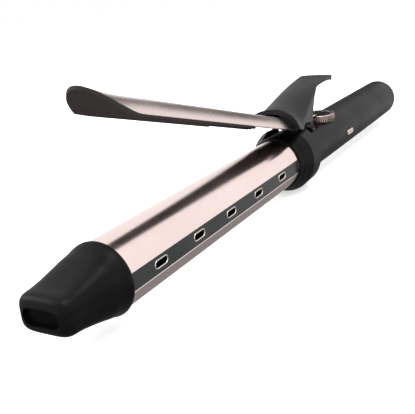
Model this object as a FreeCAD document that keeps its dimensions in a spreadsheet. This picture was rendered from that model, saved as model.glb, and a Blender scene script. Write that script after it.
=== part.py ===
"""Curling iron with a spring clamp, a vented barrel, a temperature dial and a swivel cord gland.

The tool's axis is X: the cord gland's mouth is at the origin and the cool tip points along +X.
+Z is the clamp side, +Y the side that the vent strip faces. Lengths are millimetres.
The clamp's pieces are drawn closed, round the barrel's axis, and are then turned open together
about the hinge pin.
"""
import FreeCAD, Part
import math
import os
import re
import Sketcher

Vector = FreeCAD.Vector
X_AXIS = Vector(1, 0, 0)
Y_AXIS = Vector(0, 1, 0)
Z_AXIS = Vector(0, 0, 1)

doc = FreeCAD.newDocument("curling_iron")

# ---------------------------------------------------------------------------------------------
# Driving dimensions
# ---------------------------------------------------------------------------------------------
SIZES = [
    # barrel
    ("barrel_r", 12.5, "outer radius of the heated barrel"),
    ("barrel_wall", 0.8, "barrel tube's wall"),
    ("barrel_back", 172.0, "rear end of the barrel tube, inside the collar"),
    ("barrel_front", 330.3, "front end of the barrel tube, inside the cool tip"),
    # vent strip and vents
    ("strip_half", 3.24, "half width of the flat vent strip"),
    ("strip_face", 11.7, "vent strip's face, from the axis"),
    ("strip_back", 189.0, "rear end of the vent strip"),
    ("strip_front", 329.0, "front end of the vent strip"),
    ("flange_half", 4.6, "half width of the strip's hidden flange"),
    ("flange_face", 10.0, "top of the strip's hidden flange"),
    ("flange_under", 9.0, "underside of the strip's hidden flange"),
    ("vent_first", 209.7, "centre of the rearmost vent"),
    ("vent_pitch", 25.6, "distance between vents"),
    ("vent_count", 5, "number of vents"),
    ("vent_long", 8.1, "length of a vent's bezel"),
    ("vent_high", 3.4, "height of a vent's bezel"),
    ("bezel_rim", 0.75, "width of a bezel's rim"),
    ("bezel_proud", 0.2, "how far a bezel stands out of the strip"),
    # collar
    ("ring_front", 190.4, "front face of the collar's front ring"),
    ("ring_face_r", 13.2, "front ring's outer radius at its face"),
    ("ring_back", 187.0, "where the front ring meets the collar"),
    ("ring_back_r", 14.2, "front ring's outer radius where it meets the collar"),
    ("ridge_x", 181.0, "collar's ridge"),
    ("ridge_r", 16.4, "collar's radius at the ridge"),
    ("waist_x", 169.8, "where the collar starts to run down to the handle"),
    ("waist_r", 16.2, "collar's radius there"),
    ("collar_back", 166.0, "rear edge of the collar"),
    ("saddle_r", 13.65, "radius of the clamp's seat in the collar"),
    ("saddle_half", 7.5, "half width of the clamp's seat"),
    ("saddle_floor", 7.9, "lowest height that the clamp's seat can reach"),
    # handle
    ("handle_r", 12.42, "handle's outer radius"),
    ("handle_wall", 1.5, "handle sleeve's wall"),
    ("handle_front", 171.0, "front end of the handle sleeve, inside the collar"),
    ("handle_back", 12.0, "rear end of the handle sleeve"),
    ("cap_face", 3.0, "rear face of the end cap"),
    ("cap_round", 4.5, "rounding of the end cap's edge"),
    ("flat_height", 9.3, "height of the flat under the dial and the hinge"),
    ("flat_front", 166.5, "front end of the flat"),
    # dial
    ("dial_x", 130.2, "dial's centre"),
    ("dial_r", 9.9, "dial ring's outer radius"),
    ("dial_bore", 9.15, "dial ring's inner radius"),
    ("dial_top", 13.7, "dial ring's top"),
    ("dial_under", 9.7, "dial ring's underside"),
    ("dial_face_top", 13.25, "dial face's top"),
    ("dial_shaft_r", 3.0, "dial shaft's radius"),
    # side button
    ("button_x", 110.4, "side button's centre along the handle"),
    ("button_z", -0.9, "side button's centre height"),
    ("button_long", 9.6, "side button's length"),
    ("button_high", 3.0, "side button's height"),
    ("button_face", 12.95, "side button's face, from the axis"),
    ("button_back", 11.35, "side button's back"),
    ("button_gap", 0.3, "gap round the side button"),
    # cool tip
    ("tip_back", 329.3, "rear rim of the cool tip"),
    ("tip_front", 358.0, "front face of the cool tip"),
    ("tip_rim_r", 13.1, "cool tip's radius at the rim"),
    ("nose_half_y", 9.9, "half width of the cool tip's nose"),
    ("nose_half_z", 6.4, "half height of the cool tip's nose"),
    ("nose_edge", 3.6, "rounding of the nose's edge"),
    ("carrier_r", 9.0, "radius of the carrier's spigot in the cool tip"),
    ("carrier_front", 338.0, "front end of the carrier"),
    ("slot_half_y", 7.0, "half width of the recess in the nose"),
    ("slot_half_z", 2.9, "half height of the recess in the nose"),
    ("slot_deep", 1.4, "depth of the recess in the nose"),
    # clamp, drawn closed
    ("hinge_x", 153.4, "hinge pin's place along the handle"),
    ("hinge_z", 9.0, "hinge pin's height"),
    ("pin_r", 1.5, "hinge pin's radius"),
    ("open_angle", 14.93, "angle at which the clamp stands open"),
    ("plate_inner_r", 13.45, "clamp plate's inner radius"),
    ("plate_outer_r", 13.9, "clamp plate's outer radius"),
    ("plate_half_angle", 55.5, "clamp plate's half angle"),
    ("plate_back", 193.5, "rear end of the clamp plate"),
    ("plate_front", 333.2, "front end of the clamp plate"),
    ("plate_round", 17.5, "length of the plate's rounded front"),
    ("liner_inner_r", 12.75, "liner's inner radius"),
    ("liner_half_angle", 56.5, "liner's half angle"),
    ("liner_back", 236.5, "rear end of the liner's full width"),
    ("pad_back", 198.5, "rear end of the liner's narrow pad"),
    ("pad_half_angle", 54.5, "half angle of the narrow pad"),
    ("spoon_front", 335.0, "front end of the liner's spoon"),
    ("spoon_long", 18.5, "length of the spoon's rounded end"),
    ("tip_room_r", 13.42, "room the closed spoon leaves over the cool tip's rim"),
    ("spoon_start", 315.0, "where the clamp's end starts to curve away from the barrel"),
    ("spoon_lift", 1.3, "how far the clamp's end curves away from the barrel"),
    ("bracket_r", 15.2, "clamp bracket's outer radius"),
    ("bracket_front", 197.4, "front end of the clamp bracket"),
    ("arm_from", 22.0, "angle where a bracket arm starts, from the top"),
    ("arm_to", 54.0, "angle where a bracket arm ends"),
    ("arm_seat", 28.0, "angle where an arm ends over the collar"),
    ("arm_back", 160.0, "rear end of the bracket's arms"),
    ("arm_overlap", 1.6, "how far the arms over the collar reach past its front"),
    ("bridge_back", 169.0, "rear edge of the bridge between the arms"),
    ("bridge_long", 4.0, "the bridge's length"),
    ("bridge_low", 13.4, "the bridge's underside"),
    ("bridge_thick", 1.6, "the bridge's thickness"),
    ("lug_low", 10.4, "underside of the bars that lead to the hinge lugs"),
    ("lug_high", 3.4, "height of those bars"),
    ("lug_in", 3.9, "inner face of a hinge lug"),
    ("lug_out", 6.4, "outer face of a hinge lug"),
    ("lug_r", 3.0, "radius of a hinge lug"),
    # thumb lever, drawn closed
    ("arch_x", 194.1, "front face of the lever's arch"),
    ("arch_r", 17.36, "arch's outer radius"),
    ("lever_tip_x", 134.5, "lever's squared tip"),
    ("lever_tip_z", 40.7, "height of the lever's tip"),
    ("lever_half", 8.5, "half width of the lever's tab"),
    ("lever_wall", 2.1, "lever's wall"),
    ("lever_foot", 8.3, "height of the lever's side edges"),
    ("lever_gap", 0.55, "gap between the closed lever and the collar"),
    # cord gland
    ("gland_mouth_r", 3.3, "radius of the gland's cord bore"),
    ("gland_r", 5.4, "gland's outer radius"),
    ("gland_flange_r", 7.2, "radius of the gland's hidden flange"),
    ("gland_front", 11.0, "inner end of the gland"),
]

sheet = doc.addObject("Spreadsheet::Sheet", "sizes")
for row, (alias, value, note) in enumerate(SIZES, 1):
    sheet.set(f"A{row}", note)
    sheet.set(f"B{row}", str(value))
    sheet.setAlias(f"B{row}", alias)
doc.recompute()


def size(alias):
    """The sheet's value as a plain number."""
    return float(sheet.get(alias))


NAMES = {alias for alias, _, _ in SIZES}
SOLIDS = {}


def linked(expression):
    """The expression with each alias read from the sheet by another object."""
    return re.sub(r"[a-z_]+", lambda word: f"sizes.{word[0]}" if word[0] in NAMES else word[0], expression)


def number(expression):
    """The expression's value, worked out by the sheet."""
    return float(sheet.evalExpression(expression))


def node(label, piece):
    """Name a finished piece; its label becomes its file's name."""
    piece.Label = label
    SOLIDS[label] = piece
    return piece


# ---------------------------------------------------------------------------------------------
# Part Design helpers: bodies, sketches bound to the sheet, and their features
# ---------------------------------------------------------------------------------------------
def new_body(name):
    return doc.addObject("PartDesign::Body", name)


def new_sketch(body, name, role, offset="0"):
    """A sketch on one of the body's own origin planes, moved along the plane's normal."""
    sketch = body.newObject("Sketcher::SketchObject", name)
    support = next(item for item in body.Origin.OriginFeatures if item.Role == role)
    sketch.AttachmentSupport = (support, [""])
    sketch.MapMode = "FlatFace"
    sketch.setExpression(".AttachmentOffset.Base.z", linked(offset))
    return sketch


def pin_point(sketch, geometry, end, across=None, up=None):
    """Hold one point of the sketch at a place given by one or two expressions."""
    for axis, expression in (("X", across), ("Y", up)):
        if expression is None:
            continue
        constraint = Sketcher.Constraint(f"Distance{axis}", -1, 1, geometry, end, number(expression))
        name = f"{axis.lower()}_{geometry}_{end}"
        sketch.renameConstraint(sketch.addConstraint(constraint), name)
        sketch.setExpression(f"Constraints.{name}", linked(expression))


def draw_polygon(sketch, points):
    """A closed polygon; each corner is a pair of expressions."""
    first = sketch.GeometryCount
    corners = [Vector(number(across), number(up), 0) for across, up in points]
    count = len(corners)
    for index, corner in enumerate(corners):
        sketch.addGeometry(Part.LineSegment(corner, corners[(index + 1) % count]), False)
    for index, (across, up) in enumerate(points):
        following = first + (index + 1) % count
        sketch.addConstraint(Sketcher.Constraint("Coincident", first + index, 2, following, 1))
        pin_point(sketch, first + index, 1, across, up)


def draw_circle(sketch, across, up, radius):
    """A circle with its centre and radius held by expressions."""
    centre = Vector(number(across), number(up), 0)
    index = sketch.addGeometry(Part.Circle(centre, Vector(0, 0, 1), number(radius)), False)
    pin_point(sketch, index, 3, across, up)
    name = f"radius_{index}"
    sketch.renameConstraint(sketch.addConstraint(Sketcher.Constraint("Radius", index, number(radius))), name)
    sketch.setExpression(f"Constraints.{name}", linked(radius))


def draw_obround(sketch, across, up, long, high):
    """A slot with round ends, lying along the sketch's first axis."""
    radius = number(high) / 2
    straight = number(long) / 2 - radius
    centre = Vector(number(across), number(up), 0)
    left = centre - Vector(straight, 0, 0)
    right = centre + Vector(straight, 0, 0)
    rise = Vector(0, radius, 0)
    normal = Vector(0, 0, 1)
    reach = f"(({long}) - ({high})) / 2"
    first = sketch.addGeometry(Part.LineSegment(left + rise, right + rise), False)
    quarter = math.pi / 2
    sketch.addGeometry(Part.ArcOfCircle(Part.Circle(right, normal, radius), -quarter, quarter), False)
    sketch.addGeometry(Part.LineSegment(right - rise, left - rise), False)
    sketch.addGeometry(Part.ArcOfCircle(Part.Circle(left, normal, radius), quarter, 3 * quarter), False)
    for line, arc, end_a, end_b in ((0, 1, 2, 2), (2, 1, 1, 1), (2, 3, 2, 2), (0, 3, 1, 1)):
        sketch.addConstraint(Sketcher.Constraint("Coincident", first + line, end_a, first + arc, end_b))
    pin_point(sketch, first + 1, 3, f"{across} + {reach}", up)
    pin_point(sketch, first + 3, 3, f"{across} - {reach}", up)
    pin_point(sketch, first, 1, f"{across} - {reach}", f"{up} + ({high}) / 2")
    pin_point(sketch, first, 2, f"{across} + {reach}", f"{up} + ({high}) / 2")
    pin_point(sketch, first + 2, 1, f"{across} + {reach}")
    pin_point(sketch, first + 2, 2, f"{across} - {reach}")


def pad(body, sketch, length):
    feature = body.newObject("PartDesign::Pad", f"{sketch.Name}_pad")
    feature.Profile = sketch
    feature.setExpression("Length", linked(length))
    return feature


def pocket(body, sketch, length):
    """Cut away from the sketch against its normal, and make sure that something was cut."""
    doc.recompute()
    before = body.Shape.Volume
    feature = body.newObject("PartDesign::Pocket", f"{sketch.Name}_pocket")
    feature.Profile = sketch
    feature.setExpression("Length", linked(length))
    doc.recompute()
    assert body.Shape.Volume < before - 0.01, f"{sketch.Name} cuts nothing"
    return feature


def turned(name, points):
    """A body turned about the tool's axis from a half profile of (along X, radius) corners."""
    body = new_body(name)
    sketch = new_sketch(body, f"{name}_profile", "XZ_Plane")
    draw_polygon(sketch, points)
    feature = body.newObject("PartDesign::Revolution", f"{name}_turned")
    feature.Profile = sketch
    feature.ReferenceAxis = (sketch, ["H_Axis"])
    feature.Angle = 360
    return body


def round_edges(body, name, radius, chosen):
    """Round the body's edges that the test picks out."""
    doc.recompute()
    tip = body.Tip
    edges = [f"Edge{index}" for index, edge in enumerate(tip.Shape.Edges, 1) if chosen(edge)]
    feature = body.newObject("PartDesign::Fillet", name)
    feature.Base = (tip, edges)
    feature.setExpression("Radius", linked(radius))
    return feature


# ---------------------------------------------------------------------------------------------
# Part helpers: primitives and booleans bound to the sheet
# ---------------------------------------------------------------------------------------------
def place(piece, x, y, z):
    for axis, expression in zip("xyz", (x, y, z)):
        piece.setExpression(f"Placement.Base.{axis}", linked(expression))


def box(name, x, y, z):
    """A box from three (low, high) pairs of expressions."""
    piece = doc.addObject("Part::Box", name)
    place(piece, x[0], y[0], z[0])
    for side, (low, high) in zip(("Length", "Width", "Height"), (x, y, z)):
        piece.setExpression(side, linked(f"({high}) - ({low})"))
    return piece


def rod(name, axis, start, end, radius, centre=("0", "0")):
    """A cylinder along X, Y or Z; centre is its place on the two other axes, in order."""
    piece = doc.addObject("Part::Cylinder", name)
    piece.setExpression("Radius", linked(radius))
    piece.setExpression("Height", linked(f"({end}) - ({start})"))
    if axis == "x":
        piece.Placement.Rotation = FreeCAD.Rotation(Y_AXIS, 90)
        place(piece, start, *centre)
    elif axis == "y":
        piece.Placement.Rotation = FreeCAD.Rotation(X_AXIS, -90)
        place(piece, centre[0], start, centre[1])
    else:
        place(piece, *centre, start)
    return piece


def cut(name, base, *tools):
    piece = doc.addObject("Part::Cut", name)
    piece.Base = base
    piece.Tool = tools[0] if len(tools) == 1 else fuse(f"{name}_tools", *tools)
    return piece


def fuse(name, *pieces):
    piece = doc.addObject("Part::MultiFuse", name)
    piece.Shapes = list(pieces)
    return piece


def common(name, *pieces):
    piece = doc.addObject("Part::MultiCommon", name)
    piece.Shapes = list(pieces)
    return piece


def group(name, *pieces):
    """Separate solids that share a node."""
    piece = doc.addObject("Part::Compound", name)
    piece.Links = list(pieces)
    return piece


def feature(name, shape):
    piece = doc.addObject("Part::Feature", name)
    piece.Shape = shape
    return piece


# ---------------------------------------------------------------------------------------------
# Barrel, vent strip and the air duct behind it
# ---------------------------------------------------------------------------------------------
def make_barrel_tube():
    body = new_body("barrel_body")
    section = new_sketch(body, "barrel_section", "YZ_Plane", "barrel_back")
    draw_circle(section, "0", "0", "barrel_r")
    draw_circle(section, "0", "0", "barrel_r - barrel_wall")
    pad(body, section, "barrel_front - barrel_back")
    opening = new_sketch(body, "barrel_opening", "XZ_Plane")
    draw_polygon(opening, [("strip_back", "-strip_half"), ("strip_front", "-strip_half"),
                           ("strip_front", "strip_half"), ("strip_back", "strip_half")])
    pocket(body, opening, "barrel_r + 1")
    node("barrel_tube", body)


def make_vent_strip():
    """A T-shaped bar: its face fills the barrel's opening and its flange lies behind the edges."""
    body = new_body("strip_body")
    section = new_sketch(body, "strip_section", "YZ_Plane", "strip_back")
    draw_polygon(section, [("flange_under", "-flange_half"), ("flange_face", "-flange_half"),
                           ("flange_face", "-strip_half"), ("strip_face", "-strip_half"),
                           ("strip_face", "strip_half"), ("flange_face", "strip_half"),
                           ("flange_face", "flange_half"), ("flange_under", "flange_half")])
    pad(body, section, "strip_front - strip_back")
    hole = new_sketch(body, "strip_hole", "XZ_Plane")
    draw_obround(hole, "vent_first", "0", "vent_long", "vent_high")
    first_hole = pocket(body, hole, "strip_face + 2")
    repeat_along_x(body, "strip_holes", first_hole, hole)
    node("vent_strip", body)


def repeat_along_x(body, name, first, sketch):
    """Repeat a feature once for each vent."""
    pattern = body.newObject("PartDesign::LinearPattern", name)
    pattern.Originals = [first]
    pattern.Direction = (sketch, ["H_Axis"])
    pattern.setExpression("Length", linked("vent_pitch * (vent_count - 1)"))
    pattern.setExpression("Occurrences", linked("vent_count"))
    body.Tip = pattern


def make_vent_bezels():
    """Bright liners of the vents, one separate ring to each hole."""
    body = new_body("bezel_body")
    ring = new_sketch(body, "bezel_ring", "XZ_Plane", "-(strip_face + bezel_proud)")
    draw_obround(ring, "vent_first", "0", "vent_long", "vent_high")
    draw_obround(ring, "vent_first", "0", "vent_long - 2 * bezel_rim", "vent_high - 2 * bezel_rim")
    first_ring = pad(body, ring, "strip_face + bezel_proud - flange_under")
    doc.recompute()
    repeat_along_x(body, "bezel_rings", first_ring, ring)
    node("vent_bezels", body)


def make_air_duct():
    """A trough behind the vent strip that brings the fan's air from the handle to the vents."""
    body = new_body("duct_body")
    section = new_sketch(body, "duct_section", "YZ_Plane", "strip_back - 3")
    draw_polygon(section, [("4.6", "-5.2"), ("flange_under", "-5.2"), ("flange_under", "-4.4"),
                           ("5.4", "-4.4"), ("5.4", "4.4"), ("flange_under", "4.4"),
                           ("flange_under", "5.2"), ("4.6", "5.2")])
    pad(body, section, "strip_front - strip_back + 3")
    node("air_duct", body)


# ---------------------------------------------------------------------------------------------
# Heater
# ---------------------------------------------------------------------------------------------
HEATER = ("200", "322")
INLAY = 0.8
SCREW_HEAD = 2.2


def make_heater():
    """Two aluminium halves that press three ceramic heating plates between their flats."""
    duct_room = ("4.5", "13")
    for name, low, high in (("upper", "1.3", "13"), ("lower", "-13", "-1.3")):
        half = common(f"heater_{name}_half",
                      rod(f"heater_{name}_round", "x", *HEATER, "barrel_r - barrel_wall - 0.1"),
                      box(f"heater_{name}_side", HEATER, ("-13", "13"), (low, high)))
        room = box(f"heater_{name}_room", HEATER, duct_room, ("-5.3", "5.3"))
        node(f"heater_block_{name}", cut(f"heater_{name}_cut", half, room))
    plates = [box(f"ptc_{index}", (f"{205 + 38 * index}", f"{240 + 38 * index}"), ("-9", "4"), ("-1.3", "1.3"))
              for index in range(3)]
    node("heating_plates", group("ptc_group", *plates))
    node("thermistor", rod("thermistor_rod", "x", "195.5", HEATER[0], "1.1", ("-6", "3.9")))
    node("thermal_fuse", rod("fuse_rod", "x", "190", HEATER[0], "1.7", ("-4", "-5.5")))
    power = [rod(f"power_lead_{index}", "x", "146.5", "205", "0.6", ("-6", height))
             for index, height in enumerate(("-0.65", "0.65"))]
    sense = [rod(f"sense_lead_{index}", "x", "146.5", "195.5", "0.35", ("-6", height))
             for index, height in enumerate(("3.4", "4.4"))]
    node("heater_leads", group("lead_group", *power, *sense))


# ---------------------------------------------------------------------------------------------
# Cool tip
# ---------------------------------------------------------------------------------------------
def tip_section(x, half_y, half_z, exponent):
    """A closed superellipse: round at exponent 2, a rounded rectangle as the exponent grows."""
    points = []
    for step in range(32):
        angle = 2 * math.pi * step / 32
        across = math.copysign(abs(math.cos(angle)) ** (2 / exponent), math.cos(angle))
        up = math.copysign(abs(math.sin(angle)) ** (2 / exponent), math.sin(angle))
        points.append(Vector(x, half_y * across, half_z * up))
    curve = Part.BSplineCurve()
    curve.interpolate(points, PeriodicFlag=True)
    return Part.Wire(curve.toShape())


def make_cool_tip():
    """From a round rim the tip sweeps in to a flat, rounded nose with a recess in its face."""
    back = size("tip_back")
    front = size("tip_front")
    rim = size("tip_rim_r")
    wide = size("nose_half_y")
    thin = size("nose_half_z")
    edge = size("nose_edge")
    lip = 0.4
    sections = [tip_section(back, rim - lip, rim - lip, 2), tip_section(back + lip, rim, rim, 2)]
    straight = front - edge - back - lip
    for step in range(1, 8):
        along = step / 7
        blend = 1 - (1 - along) ** 1.5
        sections.append(tip_section(back + lip + straight * along, rim + (wide - rim) * blend,
                                    rim + (thin - rim) * blend, 2 + 2.4 * blend))
    for degrees in (35, 62, 85):
        turn = math.radians(degrees)
        inset = edge * (1 - math.cos(turn))
        sections.append(tip_section(front - edge * (1 - math.sin(turn)), wide - inset, thin - inset, 4.4))
    outside = Part.makeLoft(sections, True, False)
    barrel_end = size("barrel_front") + 0.1
    spigot_end = size("carrier_front") + 0.2
    floor = front - size("slot_deep") - INLAY
    hollows = [
        Part.makeCylinder(size("barrel_r") + 0.02, barrel_end - back, Vector(back, 0, 0), X_AXIS),
        Part.makeCylinder(size("carrier_r") + 0.05, spigot_end - barrel_end, Vector(barrel_end, 0, 0), X_AXIS),
        Part.makeCylinder(1.7, floor - spigot_end, Vector(spigot_end, 0, 0), X_AXIS),
        Part.makeCylinder(2.35, SCREW_HEAD, Vector(floor - SCREW_HEAD, 0, 0), X_AXIS),
        slot_prism(floor, front + 1, size("slot_half_y"), size("slot_half_z")),
    ]
    node("cool_tip", feature("tip_shape", outside.cut(hollows)))
    node("tip_inlay", feature("inlay_shape", slot_prism(floor, floor + INLAY, size("slot_half_y"),
                                                        size("slot_half_z"))))


def slot_prism(start, end, half_y, half_z):
    """A slot along X with round ends at its two sides."""
    side = half_y - half_z
    middle = Part.makeBox(end - start, 2 * side, 2 * half_z, Vector(start, -side, -half_z))
    ends = [Part.makeCylinder(half_z, end - start, Vector(start, y, 0), X_AXIS) for y in (-side, side)]
    return middle.fuse(ends).removeSplitter()


def make_tip_carrier():
    """A plug in the barrel's end that holds the cool tip; its side is cut away for the air duct."""
    plug = turned("carrier_body", [
        ("322.3", "1.3"), ("322.3", "barrel_r - barrel_wall - 0.05"),
        ("barrel_front", "barrel_r - barrel_wall - 0.05"), ("barrel_front", "carrier_r"),
        ("carrier_front", "carrier_r"), ("carrier_front", "1.3")])
    room = box("carrier_room", ("322", "strip_front"), ("4.55", "13"), ("-5.3", "5.3"))
    node("tip_carrier", cut("carrier_cut", plug, room))
    under_head = f"tip_front - slot_deep - {INLAY} - {SCREW_HEAD}"
    node("tip_screw", turned("tip_screw_body", [
        ("328", "0"), ("328", "1.3"), ("carrier_front", "1.3"), ("carrier_front", "1.5"), (under_head, "1.5"),
        (under_head, "2.25"), (f"{under_head} + 2", "2.25"), (f"{under_head} + 2", "0")]))


# ---------------------------------------------------------------------------------------------
# Collar
# ---------------------------------------------------------------------------------------------
def saddle_tool(name):
    """What is taken off the collar's top so that the closed clamp can sit in it."""
    return cut(f"{name}_saddle",
               box(f"{name}_above", ("collar_back - 1", "ring_front + 1"), ("-saddle_half", "saddle_half"),
                   ("saddle_floor", "saddle_r + 9")),
               rod(f"{name}_seat", "x", "collar_back - 2", "ring_front + 2", "saddle_r"))


def make_collar():
    """The front ring and the collar behind it."""
    front = turned("front_ring_body", [
        ("ring_back", "0"), ("ring_front", "0"), ("ring_front", "ring_face_r"), ("ring_back", "ring_back_r")])
    bore = rod("front_ring_bore", "x", "ring_back - 1", "ring_front + 1", "barrel_r")
    node("front_ring", cut("front_ring_cut", front, saddle_tool("front_ring"), bore))
    main = turned("collar_body", [
        ("collar_back", "0"), ("ring_back", "0"), ("ring_back", "ring_back_r + 0.1"), ("ridge_x", "ridge_r"),
        ("ridge_x - 0.3", "ridge_r + 0.15"), ("ridge_x - 0.6", "ridge_r"), ("waist_x", "waist_r"),
        ("collar_back", "handle_r + 1.1")])
    node("collar", cut("collar_cut", main, saddle_tool("collar"),
                       rod("collar_bore", "x", "collar_back - 1", "ring_back + 1", "barrel_r"),
                       rod("collar_screw_hole", "z", "-20", "-11", "1.25", ("169", "0")),
                       rod("collar_screw_well", "z", "-20", "-14", "2.4", ("169", "0"))))


# ---------------------------------------------------------------------------------------------
# Handle, its frame and the end cap
# ---------------------------------------------------------------------------------------------
def make_handle_sleeve():
    """A tube with a flat on its top: round behind the dial and running forward to the collar."""
    outside = cut("sleeve_outside",
                  rod("sleeve_round", "x", "handle_back", "handle_front", "handle_r"),
                  box("sleeve_flat", ("dial_x", "flat_front"), ("-14", "14"), ("flat_height", "20")),
                  rod("sleeve_dial_well", "z", "flat_height", "20", "dial_r + 0.7", ("dial_x", "0")))
    inside = cut("sleeve_inside",
                 rod("sleeve_bore", "x", "handle_back - 1", "handle_front + 1", "handle_r - handle_wall"),
                 box("sleeve_inner_flat", ("dial_x - dial_r - 2.2", "flat_front + 1.5"), ("-14", "14"),
                     ("flat_height - handle_wall", "20")))
    windows = [
        rod("sleeve_shaft_hole", "z", "0", "20", "dial_shaft_r + 0.5", ("dial_x", "0")),
        box("sleeve_hinge_window", ("hinge_x - 6.9", "hinge_x + 7.6"), ("-6.9", "6.9"), ("5", "20")),
        box("sleeve_button_window",
            ("button_x - button_long / 2 - button_gap", "button_x + button_long / 2 + button_gap"), ("8", "14"),
            ("button_z - button_high / 2 - button_gap", "button_z + button_high / 2 + button_gap")),
        rod("sleeve_screw_hole", "z", "-14", "-9", "1.25", ("169", "0")),
        rod("sleeve_cap_hole", "z", "-14", "-9", "1.25", ("15", "0")),
        rod("sleeve_cap_well", "z", "-14", "-11.6", "2.3", ("15", "0")),
    ]
    node("handle_sleeve", cut("sleeve_cut", outside, inside, *windows))


def make_inner_frame():
    """A trough along the handle's underside: it carries the board and takes the screws."""
    shell = cut("frame_shell", rod("frame_outside", "x", "19", "handle_front - 1", "10.85"),
                rod("frame_inside", "x", "18", "handle_front", "9.75"))
    lower = common("frame_lower", shell, box("frame_half", ("19", "handle_front - 1"), ("-12", "12"), ("-12", "-5")))
    node("inner_frame", cut("frame_cut", lower, rod("frame_screw_hole", "z", "-14", "-9", "1.25", ("169", "0"))))


def make_end_cap():
    """A rounded cap with an intake grille round the cord gland and a spigot inside the sleeve."""
    body = turned("cap_body", [
        ("cap_face", "gland_r + 0.06"), ("cap_face", "handle_r"), ("handle_back", "handle_r"),
        ("handle_back", "10.9"), ("18.5", "10.9"), ("18.5", "9.6"), ("9.5", "9.6"), ("9.5", "7.6"),
        ("6", "7.6"), ("6", "gland_r + 0.06")])
    face = number("cap_face")
    rim = number("handle_r")
    round_edges(body, "cap_rounding", "cap_round",
                lambda edge: abs(edge.BoundBox.XMax - face) < 0.01 and abs(edge.BoundBox.YMax - rim) < 0.01)
    body.Tip = doc.getObject("cap_rounding")
    hole = new_sketch(body, "intake_hole", "YZ_Plane", "9.6")
    draw_circle(hole, "8.75", "0", "0.75")
    first_hole = pocket(body, hole, "9")
    grille = body.newObject("PartDesign::PolarPattern", "intake_holes")
    grille.Originals = [first_hole]
    grille.Axis = (hole, ["N_Axis"])
    grille.Angle = 360
    grille.Occurrences = 18
    body.Tip = grille
    tap = new_sketch(body, "cap_screw_hole", "XY_Plane", "-9")
    draw_circle(tap, "15", "0", "1.2")
    drill = body.newObject("PartDesign::Pocket", "cap_screw_drill")
    drill.Profile = tap
    drill.Length = 4
    node("end_cap", body)


def machine_screw(name, x, head_low, head_high, tip):
    """A screw driven upwards from under the handle."""
    return fuse(name, rod(f"{name}_head", "z", head_low, head_high, "2.1", (x, "0")),
                rod(f"{name}_shank", "z", head_high, tip, "1.2", (x, "0")))


def make_handle_screws():
    node("handle_screws", group("screw_group", machine_screw("cap_screw", "15", "-12.3", "-11.6", "-9.7"),
                                machine_screw("collar_screw", "169", "-15", "-14", "-9.8")))


# ---------------------------------------------------------------------------------------------
# Cord gland
# ---------------------------------------------------------------------------------------------
def make_swivel_gland():
    node("swivel_gland", turned("gland_body", [
        ("0", "gland_mouth_r"), ("0", "gland_r - 0.7"), ("0.7", "gland_r"), ("6.3", "gland_r"),
        ("6.3", "gland_flange_r"), ("7.8", "gland_flange_r"), ("7.8", "gland_r - 0.6"),
        ("gland_front", "gland_r - 0.6"), ("gland_front", "gland_mouth_r")]))
    node("gland_retainer", turned("retainer_body", [
        ("8.1", "gland_r - 0.2"), ("8.1", "7.6"), ("9.5", "7.6"), ("9.5", "gland_r - 0.2")]))


# ---------------------------------------------------------------------------------------------
# Fan behind the end cap
# ---------------------------------------------------------------------------------------------
def make_fan():
    ring = cut("fan_ring", rod("fan_ring_outside", "x", "21", "38", "9.7"),
               rod("fan_ring_inside", "x", "20", "39", "8.4"))
    spokes = []
    for index in range(3):
        spoke = Part.makeBox(2, 1.2, 3.0, Vector(34, -0.6, 5.5))
        spoke.rotate(Vector(), X_AXIS, 120 * index + 30)
        spokes.append(feature(f"fan_spoke_{index}", spoke))
    node("fan_housing", fuse("fan_housing_fuse", ring, *spokes))
    node("fan_motor", fuse("fan_motor_fuse", rod("fan_motor_can", "x", "31", "46", "5.5"),
                           rod("fan_motor_nose", "x", "30", "31", "2.0"),
                           rod("fan_motor_shaft", "x", "23.5", "30", "0.75")))
    hub = Part.makeCylinder(2.8, 4.6, Vector(24.4, 0, 0), X_AXIS)
    blades = []
    for index in range(7):
        blade = Part.makeBox(5.6, 0.6, 5.4, Vector(-2.8, -0.3, 2.3))
        blade.rotate(Vector(), Z_AXIS, 38)
        blade.translate(Vector(26.7, 0, 0))
        blade.rotate(Vector(), X_AXIS, 360 * index / 7)
        blades.append(blade)
    sweep = Part.makeCylinder(8.0, 4.6, Vector(24.4, 0, 0), X_AXIS)
    bore = Part.makeCylinder(0.8, 8, Vector(23, 0, 0), X_AXIS)
    node("fan_impeller", feature("impeller_shape", hub.fuse(blades).common(sweep).cut(bore)))


# ---------------------------------------------------------------------------------------------
# Electronics
# ---------------------------------------------------------------------------------------------
def make_electronics():
    board_top = "-3.4"
    node("control_board", box("board_box", ("58", "144"), ("-9.2", "9.2"), ("-5", board_top)))
    node("capacitor", rod("capacitor_can", "x", "62", "76", "3.6", ("-4.5", f"{board_top} + 3.6")))
    node("triac", box("triac_box", ("82", "92"), ("-8", "-3.5"), (board_top, "5")))
    node("controller_chip", box("chip_box", ("86", "93"), ("0", "7"), (board_top, f"{board_top} + 1.2")))
    node("potentiometer", cut("pot_cut", fuse("pot_fuse",
                                              box("pot_case", ("122", "135"), ("-6.5", "6.5"), (board_top, "4.2")),
                                              rod("pot_bush", "z", "4.2", "7.4", "4.2", ("dial_x", "0"))),
                              rod("pot_bore", "z", "0.5", "8", "dial_shaft_r + 0.05", ("dial_x", "0"))))
    node("tact_switch", fuse("tact_fuse",
                             box("tact_case", ("button_x - 3", "button_x + 3"), ("6.5", "10.1"), (board_top, "1.8")),
                             rod("tact_plunger", "y", "10.1", "10.75", "1.1", ("button_x", "button_z"))))


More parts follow.
